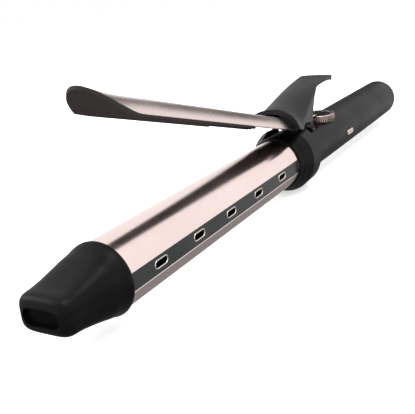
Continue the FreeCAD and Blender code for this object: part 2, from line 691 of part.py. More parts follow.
def make_side_button():
    body = new_body("button_body")
    face = new_sketch(body, "button_outline", "XZ_Plane", "-button_face")
    half_long = "button_long / 2"
    half_high = "button_high / 2"
    draw_polygon(face, [(f"button_x - {half_long}", f"button_z - {half_high}"),
                        (f"button_x + {half_long}", f"button_z - {half_high}"),
                        (f"button_x + {half_long}", f"button_z + {half_high}"),
                        (f"button_x - {half_long}", f"button_z + {half_high}")])
    pad(body, face, "button_face - button_back")
    round_edges(body, "button_corners", "1.3", lambda edge: edge.BoundBox.YLength > 0.5)
    body.Tip = doc.getObject("button_corners")
    top = number("button_face")
    round_edges(body, "button_edge", "0.35", lambda edge: edge.BoundBox.YMin > top - 0.01)
    body.Tip = doc.getObject("button_edge")
    node("side_button", body)


# ---------------------------------------------------------------------------------------------
# Dial
# ---------------------------------------------------------------------------------------------
def make_dial():
    body = new_body("dial_body")
    ring = new_sketch(body, "dial_ring_section", "XY_Plane", "dial_under")
    draw_circle(ring, "dial_x", "0", "dial_r")
    draw_circle(ring, "dial_x", "0", "dial_bore")
    pad(body, ring, "dial_top - dial_under")
    node("dial_ring", body)
    node("dial_shaft", fuse("dial_shaft_fuse",
                            rod("dial_stem", "z", "1", "12.6", "dial_shaft_r", ("dial_x", "0")),
                            rod("dial_hub", "z", "10.6", "12.6", "dial_bore", ("dial_x", "0"))))
    node("dial_face", rod("dial_disc", "z", "12.6", "dial_face_top", "dial_bore - 0.03", ("dial_x", "0")))
    node("dial_pointer", box("dial_pointer_bar", ("dial_x + 2.4", "dial_x + 7.4"), ("-0.5", "0.5"),
                             ("dial_face_top", "dial_face_top + 0.15")))


# ---------------------------------------------------------------------------------------------
# Hinge: block, pin and closing spring
# ---------------------------------------------------------------------------------------------
def make_hinge():
    block = cut("hinge_block_cut",
                box("hinge_block_box", ("hinge_x - 6.4", "hinge_x + 6.6"), ("-3.6", "3.6"), ("-2.6", "11.6")),
                box("hinge_block_well", ("hinge_x - 3.9", "hinge_x + 3.9"), ("-2.4", "2.4"), ("4.8", "14")),
                rod("hinge_block_bore", "y", "-5", "5", "pin_r", ("hinge_x", "hinge_z")))
    foot = box("hinge_block_foot", ("hinge_x - 6.4", "hinge_x + 6.6"), ("-9.1", "9.1"), ("-5", "-2.6"))
    node("hinge_block", fuse("hinge_block_fuse", block, foot))
    node("hinge_pin", rod("hinge_pin_rod", "y", "-6.8", "6.8", "pin_r", ("hinge_x", "hinge_z")))
    wire = 0.35
    coil_r = 2.3
    pitch = 0.85
    length = 4 * pitch
    path = Part.makeHelix(pitch, length, coil_r)
    profile = Part.Wire(Part.makeCircle(wire, Vector(coil_r, 0, 0), Y_AXIS))
    coil = Part.Wire(path).makePipeShell([profile], True, True)
    legs = [Part.makeCylinder(wire, 3.4, Vector(coil_r, 0, 0), Vector(0, 1, 0)),
            Part.makeCylinder(wire, 3.2, Vector(coil_r, 0, length), Vector(0, -1, 0))]
    spring = coil.fuse(legs)
    spring.rotate(Vector(), X_AXIS, 90)
    spring.translate(Vector(size("hinge_x"), length / 2, size("hinge_z")))
    node("torsion_spring", feature("spring_shape", spring))


# ---------------------------------------------------------------------------------------------
# Clamp: drawn closed, then turned open about the hinge pin
# ---------------------------------------------------------------------------------------------
def open_clamp(piece):
    turn = FreeCAD.Rotation(Y_AXIS, -size("open_angle"))
    pivot = Vector(size("hinge_x"), 0, size("hinge_z"))
    piece.Placement = FreeCAD.Placement(Vector(), turn, pivot)
    return piece


def arc_point(x, radius, degrees, lift=0.0):
    """A point on a circle round the axis, its angle measured from the top towards +Y."""
    turn = math.radians(degrees)
    return Vector(x, radius * math.sin(turn), radius * math.cos(turn) + lift)


def sector_wire(x, inner, outer, start, end, lift=0.0):
    """The outline of a piece of a ring, in a plane across the axis."""
    middle = (start + end) / 2
    corners = [arc_point(x, inner, start, lift), arc_point(x, outer, start, lift),
               arc_point(x, outer, end, lift), arc_point(x, inner, end, lift)]
    return Part.Wire([
        Part.LineSegment(corners[0], corners[1]).toShape(),
        Part.Arc(corners[1], arc_point(x, outer, middle, lift), corners[2]).toShape(),
        Part.LineSegment(corners[2], corners[3]).toShape(),
        Part.Arc(corners[3], arc_point(x, inner, middle, lift), corners[0]).toShape()])


def sector_bar(back, front, inner, outer, start, end):
    face = Part.Face(sector_wire(back, inner, outer, start, end))
    return face.extrude(Vector(front - back, 0, 0))


def rivet_rods(radius, inner, outer):
    """Two rivets that hold the plate to the bracket's two arms."""
    rods = []
    for x in (size("plate_back") + 1.9,):
        for degrees in (-40, 40):
            start = arc_point(x, inner, degrees)
            rods.append(Part.makeCylinder(radius, outer - inner, start, arc_point(0, 1, degrees)))
    return rods


def spooned_bar(back, inner, outer, angle):
    """A part of a tube over the barrel whose front end curves away from the barrel."""
    start = size("spoon_start")
    end = size("spoon_front") + 1
    sections = []
    for step in range(7):
        along = step / 6
        sections.append(sector_wire(start + (end - start) * along, inner, outer, -angle, angle,
                                    size("spoon_lift") * along ** 2))
    curved = Part.makeLoft(sections, True, False)
    return sector_bar(back, start, inner, outer, -angle, angle).fuse(curved)


def rounded_front(back, front, half, long):
    """A tall prism whose plan is a strip with half an ellipse for its front end."""
    body = Part.makeBox(front - long - back, 2 * half, 40, Vector(back, -half, -10))
    oval = Part.Ellipse(Vector(front - long, 0, -10), long, half)
    return body.fuse(Part.Face(Part.Wire(oval.toShape())).extrude(Vector(0, 0, 40)))


def make_clamp_plate():
    """A polished half-tube with a rounded front end."""
    inner = size("plate_inner_r")
    outer = size("plate_outer_r")
    angle = size("plate_half_angle")
    back = size("plate_back")
    front = size("plate_front")
    half = outer * math.sin(math.radians(angle)) + 0.01
    plate = spooned_bar(back, inner, outer, angle)
    plate = plate.common(rounded_front(back, front, half, size("plate_round"))).removeSplitter()
    plate = plate.cut(rivet_rods(0.8, inner - 1, outer + 1))
    open_clamp(node("clamp_plate", feature("plate_shape", plate)))
    heads = rivet_rods(1.5, inner - 0.4, inner - 0.1)
    shanks = rivet_rods(0.78, inner - 0.2, size("bracket_r") - 0.2)
    rivets = Part.Compound([head.fuse(shank) for head, shank in zip(heads, shanks)])
    open_clamp(node("clamp_rivets", feature("rivet_shape", rivets)))


def make_clamp_liner():
    """A heat-proof lining under the plate that shows past the plate's front as a thicker rim."""
    inner = size("liner_inner_r")
    skin = size("plate_inner_r")
    outer = size("plate_outer_r")
    angle = size("liner_half_angle")
    back = size("liner_back")
    front = size("spoon_front")
    half = outer * math.sin(math.radians(angle)) + 0.01
    plate_front = size("plate_front")
    rim_back = plate_front - size("plate_round") - 1
    plan = rounded_front(back, front, half, size("spoon_long"))
    lining = spooned_bar(back, inner, skin, angle).common(plan)
    rim = spooned_bar(rim_back, skin - 0.1, outer, angle).common(plan)
    rim = rim.cut(rounded_front(back, plate_front, half - 0.1, size("plate_round")))
    narrow = size("pad_half_angle")
    pad_back = sector_bar(size("pad_back"), back + 1, inner, skin - 0.02, -narrow, narrow)
    spoon_start = Vector(size("spoon_start"), 0, 0)
    rim_start = Vector(size("tip_back") - 0.4, 0, 0)
    flare = Part.makeCone(inner, size("tip_room_r"), rim_start.x - spoon_start.x, spoon_start, X_AXIS)
    tip_room = Part.makeCylinder(size("tip_room_r"), 20, rim_start, X_AXIS)
    liner = lining.fuse([rim, pad_back]).cut([flare, tip_room]).removeSplitter()
    open_clamp(node("clamp_liner", feature("liner_shape", liner)))


def make_clamp_bracket():
    """Two arms from the plate back to the hinge lugs, joined by a bridge under the lever."""
    outer = size("bracket_r")
    inner = size("plate_outer_r") + 0.02
    hinge = Vector(size("hinge_x"), 0, size("hinge_z"))
    lug_in = size("lug_in")
    thick = size("lug_out") - lug_in
    bridge = Vector(size("bridge_back"), -lug_in, size("bridge_low"))
    pieces = [Part.makeBox(size("bridge_long"), 2 * lug_in, size("bridge_thick"), bridge)]
    front = size("ring_front")
    back = size("arm_back")
    bar_long = back + 3.6 - hinge.x
    for side in (-1, 1):
        start, end = sorted((side * size("arm_from"), side * size("arm_to")))
        low = min(side * lug_in, side * (lug_in + thick))
        seat_start, seat_end = sorted((side * 15.0, side * size("arm_seat")))
        lug = hinge + Vector(0, low, 0)
        pieces.append(sector_bar(front + 0.4, size("bracket_front"), inner, outer, start, end))
        pieces.append(sector_bar(back, front + size("arm_overlap"), inner, outer, seat_start, seat_end))
        pieces.append(Part.makeBox(bar_long, thick, size("lug_high"), Vector(hinge.x, low, size("lug_low"))))
        pieces.append(Part.makeBox(size("lug_r"), thick, size("lug_high") + size("lug_low") - hinge.z, lug))
        pieces.append(Part.makeCylinder(size("lug_r"), thick, lug, Y_AXIS))
    barrel_room = Part.makeCylinder(inner, 40, Vector(back + 3.8, 0, 0), X_AXIS)
    bore = Part.makeCylinder(size("pin_r") + 0.05, 20, hinge - Vector(0, 10, 0), Y_AXIS)
    ceiling = Part.makeCylinder(outer, 60, Vector(145, 0, 0), X_AXIS)
    shape = pieces[0].fuse(pieces[1:]).common(ceiling).cut([barrel_room, bore])
    shape = shape.cut(rivet_rods(0.8, 12, 15.0)).removeSplitter()
    open_clamp(node("clamp_bracket", feature("bracket_shape", shape)))


# Lever's cross sections, from its arch back to its tip: place along X, half width, height of the
# side edge of its top, and height of its crown.
LEVER_SECTIONS = [
    (size("arch_x"), 15.4, 6.0, size("arch_r")),
    (186.0, 13.4, 8.8, 19.3),
    (177.0, 11.8, 15.6, 23.9),
    (168.0, 10.4, 22.8, 28.9),
    (160.0, 9.3, 28.8, 32.7),
    (150.0, 8.7, 34.5, 36.4),
    (142.0, 8.6, 38.1, 39.0),
    (size("lever_tip_x"), size("lever_half"), 40.4, size("lever_tip_z")),
]


def lever_section(x, half, shoulder, crown, bottom):
    """A closed outline: straight sides up to the shoulders and half an ellipse over them."""
    left = Vector(x, -half, shoulder)
    right = Vector(x, half, shoulder)
    rise = crown - shoulder
    if rise < half:
        oval = Part.Ellipse(right, Vector(x, 0, crown), Vector(x, 0, shoulder))
    else:
        oval = Part.Ellipse(Vector(x, 0, crown), left, Vector(x, 0, shoulder))
    arch = Part.ArcOfEllipse(oval, 0, math.pi) if rise < half else Part.ArcOfEllipse(oval, -math.pi / 2, math.pi / 2)
    ends = [arch.StartPoint, arch.EndPoint]
    low = [Vector(x, end.y, bottom) for end in ends]
    return Part.Wire([
        Part.LineSegment(low[0], ends[0]).toShape(), arch.toShape(),
        Part.LineSegment(ends[1], low[1]).toShape(), Part.LineSegment(low[1], low[0]).toShape()])


def collar_room(gap):
    """The collar's full outside, larger by a gap all round."""
    rings = [("collar_back", "handle_r"), ("waist_x", "waist_r"), ("ridge_x", "ridge_r"),
             ("ring_back", "ring_back_r"), ("ring_front", "ring_face_r")]
    outline = [Vector(size(x), 0, size(radius) + gap) for x, radius in rings]
    outline[0].x -= gap
    outline = [Vector(outline[0].x, 0, 0)] + outline + [Vector(outline[-1].x + gap, 0, outline[-1].z),
                                                       Vector(outline[-1].x + gap, 0, 0)]
    outline.append(outline[0])
    return Part.Face(Part.makePolygon(outline)).revolve(Vector(), X_AXIS, 360)


def lever_side_profile():
    """What is cut away below the lever's side edges and behind its underside."""
    front = size("arch_x") + 1
    foot = size("lever_foot")
    tip = size("lever_tip_x") - 1
    under = [Vector(165.0, 0, 13.6), Vector(163.8, 0, 19.5), Vector(162.2, 0, 26.0), Vector(158.2, 0, 30.9),
             Vector(151.0, 0, 34.1), Vector(143.0, 0, 36.4), Vector(tip, 0, 37.8)]
    curve = Part.BSplineCurve()
    curve.interpolate(under)
    heel = Part.BSplineCurve()
    heel.interpolate([Vector(183.0, 0, foot), Vector(173.5, 0, 9.8), under[0]])
    return Part.Wire([
        Part.LineSegment(Vector(tip, 0, -5), Vector(front, 0, -5)).toShape(),
        Part.LineSegment(Vector(front, 0, -5), Vector(front, 0, foot)).toShape(),
        Part.LineSegment(Vector(front, 0, foot), Vector(183.0, 0, foot)).toShape(),
        heel.toShape(), curve.toShape(),
        Part.LineSegment(under[-1], Vector(tip, 0, -5)).toShape()])


def make_thumb_lever():
    """A hollow horn: an arch over the collar that rises and flattens back to a squared thumb tab."""
    bottom = 4.0
    outside = Part.makeLoft([lever_section(x, half, shoulder, crown, bottom)
                             for x, half, shoulder, crown in LEVER_SECTIONS], True, False)
    wall = size("lever_wall")
    rooms = [(x, half - wall, shoulder, crown - wall) for x, half, shoulder, crown in LEVER_SECTIONS[1:4]]
    rooms.append((165.8, 9.8 - wall, 23.6, 29.2 - wall))
    inside = Part.makeLoft([lever_section(x, half, shoulder, crown, bottom - 2)
                            for x, half, shoulder, crown in rooms], True, False)
    below = Part.Face(lever_side_profile()).extrude(Vector(0, 40, 0))
    below.translate(Vector(0, -20, 0))
    arch_room = Part.makeCylinder(size("bracket_r"), 40, Vector(size("arm_back") + 3.9, 0, 0), X_AXIS)
    shape = outside.cut([below, inside, arch_room, collar_room(size("lever_gap"))])
    solids = sorted(shape.Solids, key=lambda solid: solid.Volume)
    open_clamp(node("thumb_lever", feature("lever_shape", solids[-1])))


# ---------------------------------------------------------------------------------------------
# Build, check and write
# ---------------------------------------------------------------------------------------------
def check_and_export():
    doc.recompute()
    failed = [item.Name for item in doc.Objects if {"Invalid", "Error"} & set(item.State)]
    assert not failed, f"failed objects: {failed}"
    for label, piece in SOLIDS.items():
        shape = piece.Shape
        assert not shape.isNull() and shape.isValid(), f"{label} has no valid shape"
        assert shape.Volume > 0, f"{label} is inside out"
    os.makedirs("parts", exist_ok=True)
    for label, piece in SOLIDS.items():
        piece.Shape.exportStep(f"parts/{label}.step")
        bounds = piece.Shape.BoundBox
        print(f"{label:20s} {len(piece.Shape.Solids)} solid(s) {piece.Shape.Volume:9.1f} mm3  "
              f"X {bounds.XMin:.1f}..{bounds.XMax:.1f}  Y {bounds.YMin:.1f}..{bounds.YMax:.1f}  "
              f"Z {bounds.ZMin:.1f}..{bounds.ZMax:.1f}")


for make in (make_barrel_tube, make_vent_strip, make_vent_bezels, make_air_duct, make_heater, make_cool_tip,
             make_tip_carrier, make_collar, make_handle_sleeve, make_inner_frame, make_end_cap,
             make_handle_screws, make_swivel_gland, make_fan, make_electronics, make_side_button, make_dial,
             make_hinge, make_clamp_plate, make_clamp_liner, make_clamp_bracket, make_thumb_lever):
    make()
    doc.recompute()
check_and_export()
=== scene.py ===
# %% [markdown]
# # A curling iron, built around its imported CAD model
# The iron is a hollow steel barrel with a sprung clamp over it, a vented strip down one side, a cool
# tip, and a handle with a heat dial. Every solid already has its exact place in the CAD frame, so this
# script loads that frame, gives each solid the finish of the real material, and adds the fine things
# that are better made here: the plated rims of the vents, the lip of the barrel's slot, the knurl of the
# dial and the marks on it.

# %% Load the frame
import math

import bmesh
import bpy
from mathutils import Matrix, Vector


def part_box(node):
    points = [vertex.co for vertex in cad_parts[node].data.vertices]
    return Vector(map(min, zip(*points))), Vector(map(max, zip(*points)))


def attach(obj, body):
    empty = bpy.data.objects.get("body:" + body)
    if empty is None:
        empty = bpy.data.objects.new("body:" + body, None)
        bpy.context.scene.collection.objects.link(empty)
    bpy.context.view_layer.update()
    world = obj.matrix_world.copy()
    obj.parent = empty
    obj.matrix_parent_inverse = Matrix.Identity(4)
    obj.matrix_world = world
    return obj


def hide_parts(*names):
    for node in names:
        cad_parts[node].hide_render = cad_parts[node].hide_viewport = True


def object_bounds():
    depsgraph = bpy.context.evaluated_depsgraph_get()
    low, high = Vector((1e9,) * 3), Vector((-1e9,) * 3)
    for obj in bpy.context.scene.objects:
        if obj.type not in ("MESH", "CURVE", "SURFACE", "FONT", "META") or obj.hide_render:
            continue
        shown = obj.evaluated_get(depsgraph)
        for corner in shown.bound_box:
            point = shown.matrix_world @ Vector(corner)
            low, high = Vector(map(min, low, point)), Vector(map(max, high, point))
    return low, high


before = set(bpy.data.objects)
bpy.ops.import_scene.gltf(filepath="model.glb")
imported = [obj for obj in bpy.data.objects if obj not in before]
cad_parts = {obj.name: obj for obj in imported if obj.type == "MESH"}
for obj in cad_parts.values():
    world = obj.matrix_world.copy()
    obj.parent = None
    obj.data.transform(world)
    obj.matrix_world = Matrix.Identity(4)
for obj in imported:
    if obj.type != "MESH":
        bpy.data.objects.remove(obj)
CAD_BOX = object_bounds()
MM = 0.001


# %% Colours as they are written for a screen
def linear(code):
    """An sRGB hex colour as the linear values that a shader mixes."""
    channels = [int(code[i:i + 2], 16) / 255 for i in (1, 3, 5)]
    return tuple(c / 12.92 if c <= 0.04045 else ((c + 0.055) / 1.055) ** 2.4 for c in channels) + (1.0,)


print("rose gold in linear values:", [round(c, 3) for c in linear("#e8c4bb")])


# %% One helper for every node
def add(tree, kind, links=None, inputs=None, **settings):
    """Adds a node, sets its properties and input values, and links sockets into its inputs."""
    node = tree.nodes.new(kind)
    for key, value in settings.items():
        setattr(node, key, value)
    for key, value in (inputs or {}).items():
        node.inputs[key].default_value = value
    for key, socket in (links or {}).items():
        tree.links.new(socket, node.inputs[key])
    return node


# %% [markdown]
# ## The studio
# A polished tube has hardly any colour of its own: it shows what stands round it. A white tube in a
# white room would have no shape, so the room is white at eye height, grey towards the ground, and has
# one small dark flag on the far side, as product photographers hang it, which draws a soft grey band
# along the clamp. All of this is the world's colour, so it needs no objects, and the floor is kept out
# of the reflections so that it doesn't fill them with white.

# %% The world: a white room with one dark flag and a grey ground
WALL_WHITE, FLAG_GREY, GROUND_GREY = "#ffffff", "#4c4c4c", "#8a8a8a"
FLAG_TOWARDS = Vector((-0.94, -0.27, 0.18)).normalized()
FLAG_START, FLAG_END = 0.962, 0.993
GROUND_START, GROUND_END = -0.16, -0.42

world = bpy.data.worlds.new("studio_room")
bpy.context.scene.world = world
world.use_nodes = True
room = world.node_tree
room.nodes.clear()
towards = add(room, "ShaderNodeTexCoord")
height = add(room, "ShaderNodeSeparateXYZ", {"Vector": towards.outputs["Generated"]})
ground = add(room, "ShaderNodeMapRange", {"Value": height.outputs["Z"]},
             {"From Min": GROUND_START, "From Max": GROUND_END}, interpolation_type="SMOOTHSTEP")
facing = add(room, "ShaderNodeVectorMath", {0: towards.outputs["Generated"]},
             {1: FLAG_TOWARDS}, operation="DOT_PRODUCT")
flag = add(room, "ShaderNodeMapRange", {"Value": facing.outputs["Value"]},
           {"From Min": FLAG_START, "From Max": FLAG_END}, interpolation_type="SMOOTHSTEP")
walls = add(room, "ShaderNodeMix", {"Factor": flag.outputs["Result"]}, data_type="RGBA")
walls.inputs["A"].default_value = linear(WALL_WHITE)
walls.inputs["B"].default_value = linear(FLAG_GREY)
paint = add(room, "ShaderNodeMix", {"Factor": ground.outputs["Result"]}, data_type="RGBA")
room.links.new(walls.outputs["Result"], paint.inputs["A"])
paint.inputs["B"].default_value = linear(GROUND_GREY)
ray = add(room, "ShaderNodeLightPath")
seen = add(room, "ShaderNodeMix", {"Factor": ray.outputs["Is Camera Ray"]}, data_type="RGBA")
room.links.new(paint.outputs["Result"], seen.inputs["A"])
seen.inputs["B"].default_value = linear(WALL_WHITE)
light = add(room, "ShaderNodeBackground", {"Color": seen.outputs["Result"]}, {"Strength": 1.0})
add(room, "ShaderNodeOutputWorld", {"Surface": light.outputs["Background"]})
print("world has", len(room.nodes), "nodes")


# %% The floor
def plate_mesh(name, low, high, z):
    """A flat rectangle at height z, facing up."""
    mesh = bpy.data.meshes.new(name)
    corners = [(low[0], low[1], z), (high[0], low[1], z), (high[0], high[1], z), (low[0], high[1], z)]
    mesh.from_pydata(corners, [], [(0, 1, 2, 3)])
    piece = bpy.data.objects.new(name, mesh)
    bpy.context.scene.collection.objects.link(piece)
    return piece


FLOOR_GAP = 0.2 * MM
FLOOR_REACH = 6
FLOOR_GLOW = 0.55
floor = plate_mesh("studio_floor", (-FLOOR_REACH, -FLOOR_REACH), (FLOOR_REACH, FLOOR_REACH),
                   CAD_BOX[0][2] - FLOOR_GAP)
paper = bpy.data.materials.new("white_paper_sweep")
paper.use_nodes = True
paper_fibres = add(paper.node_tree, "ShaderNodeTexNoise", inputs={"Scale": 900.0, "Detail": 3.0})
paper_tone = add(paper.node_tree, "ShaderNodeMix", {"Factor": paper_fibres.outputs["Fac"]},
                 data_type="RGBA")
paper_tone.inputs["A"].default_value = linear("#f7f7f7")
paper_tone.inputs["B"].default_value = linear("#ffffff")
paper_shader = paper.node_tree.nodes["Principled BSDF"]
paper.node_tree.links.new(paper_tone.outputs["Result"], paper_shader.inputs["Base Color"])
paper_shader.inputs["Roughness"].default_value = 0.9
paper_shader.inputs["Specular IOR Level"].default_value = 0.1
paper_shader.inputs["Emission Color"].default_value = (1, 1, 1, 1)
paper_shader.inputs["Emission Strength"].default_value = FLOOR_GLOW
floor.data.materials.append(paper)
floor.visible_glossy = False


# %% Lamps and camera
def softbox(name, place, target, size, power):
    """A square area lamp at place, turned to face target."""
    lamp = bpy.data.lights.new(name, "AREA")
    lamp.size = size
    lamp.energy = power
    holder = bpy.data.objects.new(name, lamp)
    holder.location = place
    holder.rotation_euler = (Vector(target) - Vector(place)).to_track_quat("-Z", "Y").to_euler()
    bpy.context.scene.collection.objects.link(holder)
    return holder


softbox("overhead_softbox", (0.25, 0.25, 0.95), (0.2, 0, 0), 0.8, 7.0)
softbox("left_softbox", (0.55, -0.75, 0.55), (0.25, 0, 0), 0.5, 3.0)

CAMERA_PLACE = Vector((475.0, 130.6, 82.9)) * MM
CAMERA_RIGHT = Vector((-0.4881, 0.8671, -0.0992))
CAMERA_UP = Vector((-0.3171, -0.0703, 0.9458))
eye = bpy.data.cameras.new("product_camera")
eye.sensor_width = 36.0
eye.lens = 56.13
eye.clip_start = 0.01
eye.clip_end = 30.0
camera = bpy.data.objects.new("product_camera", eye)
axes = Matrix((CAMERA_RIGHT, CAMERA_UP, CAMERA_RIGHT.cross(CAMERA_UP))).transposed()
camera.matrix_world = Matrix.Translation(CAMERA_PLACE) @ axes.to_4x4()
bpy.context.scene.collection.objects.link(camera)
bpy.context.scene.camera = camera
bpy.context.scene.view_settings.view_transform = "Standard"
print("camera stands", round(CAMERA_PLACE.length, 3), "m from the cord gland")

# %% [markdown]
# ## Finishes
# Each finish starts from one recipe, because all of them are smooth factory surfaces that differ in
# colour, gloss and grain: a noise of the material's own grain size moves the colour a little, a
# second one moves the roughness, and the first also gives the bump. A stretched grain makes
# polishing or brushing lines. What the eye reads as "metal", "soft-touch" or "silicone" is how wide
# these ranges are.


# %% The recipe
def finish(name, light, dark, metallic=0.0, gloss=(0.35, 0.45), grain=0.6, stretch=(1, 1, 1), bump=0.01,
           haze=12.0, **sockets):
    """A material whose colour, roughness and height vary. grain and haze are sizes in millimetres."""
    material = bpy.data.materials.new(name)
    material.use_nodes = True
    tree = material.node_tree
    shader = tree.nodes["Principled BSDF"]
    place = add(tree, "ShaderNodeTexCoord")
    turned = add(tree, "ShaderNodeMapping", {"Vector": place.outputs["Object"]}, {"Scale": stretch})
    fine = add(tree, "ShaderNodeTexNoise", {"Vector": turned.outputs["Vector"]},
               {"Scale": 1 / (grain * MM), "Detail": 4.0, "Roughness": 0.6})
    wide = add(tree, "ShaderNodeTexNoise", {"Vector": place.outputs["Object"]},
               {"Scale": 1 / (haze * MM), "Detail": 2.0})
    both = add(tree, "ShaderNodeMath", {0: fine.outputs["Fac"], 1: wide.outputs["Fac"]},
               operation="MULTIPLY")
    tone = add(tree, "ShaderNodeMapRange", {"Value": both.outputs["Value"]},
               {"From Min": 0.12, "From Max": 0.42})
    colour = add(tree, "ShaderNodeMix", {"Factor": tone.outputs["Result"]}, data_type="RGBA")
    colour.inputs["A"].default_value = linear(dark)
    colour.inputs["B"].default_value = linear(light)
    dull = add(tree, "ShaderNodeMapRange", {"Value": wide.outputs["Fac"]},
               {"From Min": 0.3, "From Max": 0.7, "To Min": gloss[0], "To Max": gloss[1]})
    relief = add(tree, "ShaderNodeBump", {"Height": fine.outputs["Fac"]},
                 {"Strength": 0.35, "Distance": bump * MM})
    tree.links.new(colour.outputs["Result"], shader.inputs["Base Color"])
    tree.links.new(dull.outputs["Result"], shader.inputs["Roughness"])
    tree.links.new(relief.outputs["Normal"], shader.inputs["Normal"])
    shader.inputs["Metallic"].default_value = metallic
    for socket, value in sockets.items():
        shader.inputs[socket.replace("_", " ")].default_value = value
    return material


# %% [markdown]
# ### Rose-gold plated steel
# The barrel and the clamp are stainless steel, polished and then vapour-coated with a thin pale rose
# layer. The polish leaves lines round the tube that are far too fine to see one by one; they only
# smear a reflection across the barrel, so the grain is drawn long round the tube and short along it.

# %% The metals
steel_rose = finish("vapour_coated_rose_steel", "#fdeae6", "#f6dfda", metallic=1.0, gloss=(0.19, 0.25),
                    grain=0.35, stretch=(1.0, 0.06, 0.06), bump=0.0006, haze=30.0)
clamp_rose = finish("polished_rose_steel_clamp", "#f0deda", "#e4d0cb", metallic=1.0, gloss=(0.22, 0.29),
                    grain=0.35, stretch=(0.06, 1.0, 1.0), bump=0.0006, haze=24.0)
bezel_chrome = finish("bright_nickel_plate", "#f5efec", "#e2dad6", metallic=1.0, gloss=(0.10, 0.16),
                      grain=0.3, bump=0.0006, haze=6.0)
knurl_rose = finish("knurled_rose_aluminium", "#b39a95", "#7d6a66", metallic=1.0, gloss=(0.24, 0.36),
                    grain=0.25, bump=0.001, haze=3.0)
dial_rose = finish("turned_rose_aluminium", "#ecdad5", "#cfb9b3", metallic=1.0, gloss=(0.20, 0.30),
                   grain=0.25, stretch=(0.2, 0.2, 1.0), bump=0.001, haze=5.0)
button_satin = finish("satin_pink_aluminium", "#e9d5d0", "#d6c0ba", metallic=1.0, gloss=(0.26, 0.34),
                      grain=0.2, stretch=(0.15, 1.0, 1.0), bump=0.001, haze=3.0)
screw_zinc = finish("zinc_plated_steel", "#b9b9bd", "#8f8f95", metallic=1.0, gloss=(0.28, 0.42),
                    grain=0.3, bump=0.002, haze=2.0)
spring_wire = finish("drawn_spring_wire", "#a3a3a8", "#7c7c82", metallic=1.0, gloss=(0.25, 0.35),
                     grain=0.2, bump=0.002, haze=2.0)
cast_aluminium = finish("die_cast_aluminium", "#c9c9cc", "#a4a4a8", metallic=1.0, gloss=(0.40, 0.55),
                        grain=0.5, bump=0.01, haze=8.0)

# %% [markdown]
# ### Soft-touch black
# The tip, collar and handle are moulded nylon sprayed with a soft-touch lacquer: very dark, with wide
# dull highlights and an extremely fine orange-peel that breaks them up. Hands leave slightly glossier
# areas, which the wide haze gives.

# %% The plastics and rubbers
soft_black = finish("soft_touch_black_nylon", "#0b0b0b", "#060606", gloss=(0.34, 0.44), grain=0.28,
                    bump=0.012, haze=26.0, Specular_IOR_Level=0.11)
lever_charcoal = finish("moulded_charcoal_nylon", "#161616", "#0f0f0f", gloss=(0.34, 0.44), grain=0.3,
                        bump=0.010, haze=18.0, Specular_IOR_Level=0.2)
bracket_resin = finish("heat_proof_black_resin", "#0e0e0e", "#080808", gloss=(0.40, 0.52), grain=0.3,
                       bump=0.012, haze=9.0, Specular_IOR_Level=0.1)
strip_resin = finish("dark_grey_heat_resin", "#2b2d2d", "#1f2121", gloss=(0.30, 0.40), grain=0.25,
                     bump=0.008, haze=14.0, Specular_IOR_Level=0.4)
inlay_black = finish("moulded_black_abs", "#080808", "#040404", gloss=(0.30, 0.40), grain=0.4,
                     bump=0.006, haze=4.0, Specular_IOR_Level=0.05)
liner_silicone = finish("dark_brown_silicone", "#221d1b", "#171312", gloss=(0.48, 0.60), grain=0.4,
                        bump=0.012, haze=12.0, Specular_IOR_Level=0.35)
dial_satin = finish("satin_black_acrylic", "#090909", "#040404", gloss=(0.30, 0.38), grain=0.5,
                    bump=0.001, haze=5.0, Specular_IOR_Level=0.04)
mark_white = finish("pad_printed_white", "#f2f2f2", "#dadada", gloss=(0.45, 0.55), grain=0.12,
                    bump=0.004, haze=2.0)
mark_grey = finish("pad_printed_grey", "#7a7475", "#5f5a5b", gloss=(0.45, 0.55), grain=0.12,
                   bump=0.004, haze=2.0)
gland_rubber = finish("black_cord_rubber", "#171717", "#0f0f0f", gloss=(0.55, 0.66), grain=0.4,
                      bump=0.02, haze=4.0)
frame_nylon = finish("glass_filled_nylon", "#303032", "#242426", gloss=(0.48, 0.6), grain=0.5, bump=0.02,
                     haze=9.0)
fan_acetal = finish("moulded_black_acetal", "#1d1d1d", "#131313", gloss=(0.32, 0.42), grain=0.4,
                    bump=0.006, haze=4.0)
dial_acetal = finish("natural_grey_acetal", "#6f6f70", "#59595a", gloss=(0.35, 0.45), grain=0.4,
                     bump=0.006, haze=4.0)
board_mask = finish("green_solder_mask", "#0f6b3a", "#0a4e2a", gloss=(0.22, 0.32), grain=0.6, bump=0.006,
                    haze=6.0, Coat_Weight=0.3)
package_epoxy = finish("black_epoxy_package", "#1c1c1e", "#121213", gloss=(0.5, 0.62), grain=0.2,
                       bump=0.01, haze=3.0)
capacitor_sleeve = finish("blue_shrink_sleeve", "#1b2350", "#121838", gloss=(0.2, 0.3), grain=0.6,
                          bump=0.004, haze=6.0)
fired_ceramic = finish("fired_white_ceramic", "#efece4", "#ddd8cc", gloss=(0.5, 0.65), grain=0.3,
                       bump=0.01, haze=5.0)
sensor_bead = finish("orange_glass_bead", "#b05a35", "#8c4426", gloss=(0.15, 0.25), grain=0.4,
                     bump=0.003, haze=2.0)
lead_sleeve = finish("woven_glass_sleeve", "#e8e6dc", "#c9c6b8", gloss=(0.6, 0.75), grain=0.25,
                     stretch=(1.0, 0.5, 0.5), bump=0.03, haze=3.0)

